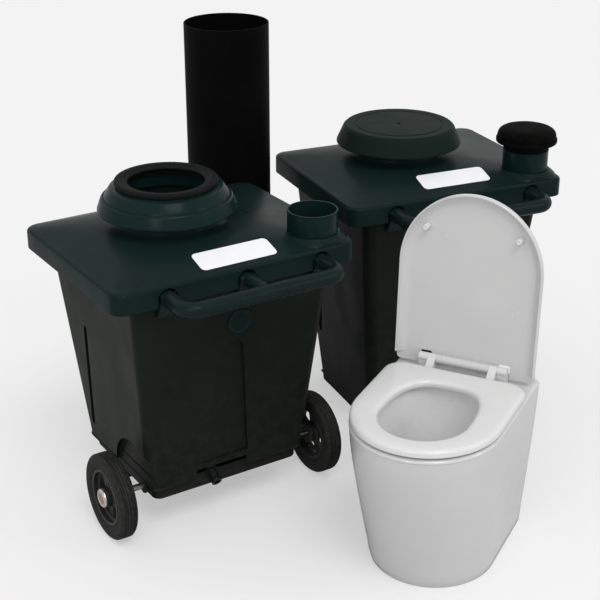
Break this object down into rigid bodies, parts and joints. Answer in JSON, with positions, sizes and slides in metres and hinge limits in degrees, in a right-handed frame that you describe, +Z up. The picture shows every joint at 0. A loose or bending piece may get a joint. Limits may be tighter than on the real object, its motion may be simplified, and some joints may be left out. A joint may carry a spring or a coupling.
{
  "type": "composting toilet",
  "caption": "Composting toilet set: wheeled collection container, closed spare container with vent cap, drop pipe, and white pedestal with hinged seat and lid.",
  "frame": {"origin": "on the floor, under the middle of the whole set", "axes": "+Z up; -Y is the side that the wheeled container's handle, plug and drain face; +X runs along its axle towards the spare container"},
  "size_m": [1.4524, 1.3066, 1.096],
  "materials": {
    "tank_green": "satin moulded dark green",
    "lid_green": "semi-gloss dark green",
    "seal_rubber": "matte black",
    "cap_black": "matte black",
    "pipe_black": "matte black, faint lengthwise sheen",
    "tray_black": "satin black",
    "tyre": "matte black",
    "rim_grey": "satin dark grey",
    "steel": "plated, lightly dulled",
    "label_white": "satin white",
    "shell_white": "glossy white",
    "seat_white": "glossy white",
    "hinge_white": "satin white",
    "bowl_grey": "smooth light grey"
  },
  "bodies": {
    "front_body": {"front_tank": "tank_green", "front_base_tray": "tray_black", "front_axle": "steel", "front_axle_bush_left": "tray_black", "front_axle_bush_right": "tray_black", "front_handle": "lid_green", "front_handle_bolt_1": "steel", "front_handle_bolt_2": "steel", "front_handle_bolt_3": "steel", "front_drain_spigot": "tray_black", "front_drain_grate": "tray_black"},
    "front_lid": {"front_lid": "lid_green", "front_lid_skirt": "lid_green", "front_lid_neck": "lid_green", "front_vent_boss": "lid_green", "front_label_plate": "label_white", "front_vent_socket": "lid_green"},
    "front_collar": {"front_inlet_collar": "lid_green", "front_inlet_seal": "seal_rubber"},
    "front_plug": {"front_wall_plug": "tank_green"},
    "wheel_left": {"front_wheel_tyre_left": "tyre", "front_wheel_rim_left": "rim_grey", "front_hub_cap_left": "steel"},
    "wheel_right": {"front_wheel_tyre_right": "tyre", "front_wheel_rim_right": "rim_grey", "front_hub_cap_right": "steel"},
    "rear_body": {"rear_tank": "tank_green", "rear_handle": "lid_green", "rear_handle_bolt_1": "steel", "rear_handle_bolt_2": "steel", "rear_handle_bolt_3": "steel"},
    "rear_lid": {"rear_lid": "lid_green", "rear_lid_skirt": "lid_green", "rear_lid_neck": "lid_green", "rear_vent_boss": "lid_green", "rear_label_plate": "label_white", "rear_vent_socket": "lid_green"},
    "rear_cover": {"rear_closing_cover": "lid_green"},
    "rear_cap": {"rear_vent_cap": "cap_black", "rear_vent_cap_tube": "cap_black"},
    "rear_plug": {"rear_wall_plug": "tank_green"},
    "drop_pipe": {"drop_pipe": "pipe_black"},
    "pedestal": {"pedestal_shell": "shell_white", "pedestal_bowl": "bowl_grey", "pedestal_bowl_outlet": "bowl_grey", "pedestal_hinge_pin": "steel", "pedestal_hinge_post_left": "hinge_white", "pedestal_hinge_post_right": "hinge_white", "pedestal_hinge_nut_left": "hinge_white", "pedestal_hinge_nut_right": "hinge_white", "pedestal_seat_bumper_back_left": "hinge_white", "pedestal_seat_bumper_back_right": "hinge_white", "pedestal_seat_bumper_front_left": "hinge_white", "pedestal_seat_bumper_front_right": "hinge_white"},
    "seat": {"pedestal_seat": "seat_white"},
    "toilet_lid": {"pedestal_lid": "seat_white", "pedestal_lid_bumper_left": "hinge_white", "pedestal_lid_bumper_right": "hinge_white"}
  },
  "joints": [
    {"name": "front_lid_lift", "type": "slide", "parent": "front_body", "child": "front_lid", "axis": [0, 0, 1], "range_m": [0, 0.3]},
    {"name": "front_collar_lift", "type": "slide", "parent": "front_lid", "child": "front_collar", "axis": [0, 0, 1], "range_m": [0, 0.15]},
    {"name": "front_plug_pull", "type": "slide", "parent": "front_body", "child": "front_plug", "axis": [0, -0.9942, -0.1074], "range_m": [0, 0.05]},
    {"name": "wheel_left_spin", "type": "hinge", "parent": "front_body", "child": "wheel_left", "pos_m": [-0.69621, 0.04433, 0.108], "axis": [1, 0, 0], "continuous": true},
    {"name": "wheel_right_spin", "type": "hinge", "parent": "front_body", "child": "wheel_right", "pos_m": [-0.11221, 0.04433, 0.108], "axis": [1, 0, 0], "continuous": true},
    {"name": "rear_container_lift", "type": "slide", "parent": "front_body", "child": "rear_body", "axis": [0, 0, 1], "range_m": [0, 0.15]},
    {"name": "rear_lid_lift", "type": "slide", "parent": "rear_body", "child": "rear_lid", "axis": [0, 0, 1], "range_m": [0, 0.3]},
    {"name": "rear_cover_lift", "type": "slide", "parent": "rear_lid", "child": "rear_cover", "axis": [0, 0, 1], "range_m": [0, 0.15]},
    {"name": "rear_cap_lift", "type": "slide", "parent": "rear_lid", "child": "rear_cap", "axis": [0, 0, 1], "range_m": [0, 0.15]},
    {"name": "rear_plug_pull", "type": "slide", "parent": "rear_body", "child": "rear_plug", "axis": [-0.1521, -0.9825, -0.1074], "range_m": [0, 0.05]},
    {"name": "drop_pipe_lift", "type": "slide", "parent": "front_body", "child": "drop_pipe", "axis": [0, 0, 1], "range_m": [0, 0.3]},
    {"name": "pedestal_lift", "type": "slide", "parent": "front_body", "child": "pedestal", "axis": [0, 0, 1], "range_m": [0, 0.15]},
    {"name": "seat_hinge", "type": "hinge", "parent": "pedestal", "child": "seat", "pos_m": [0.05559, -0.34881, 0.428], "axis": [0.5299, -0.848, 0], "range_deg": [-92, 0]},
    {"name": "toilet_lid_hinge", "type": "hinge", "parent": "seat", "child": "toilet_lid", "pos_m": [0.05559, -0.34881, 0.428], "axis": [0.5299, -0.848, 0], "range_deg": [0, 93]}
  ]
}
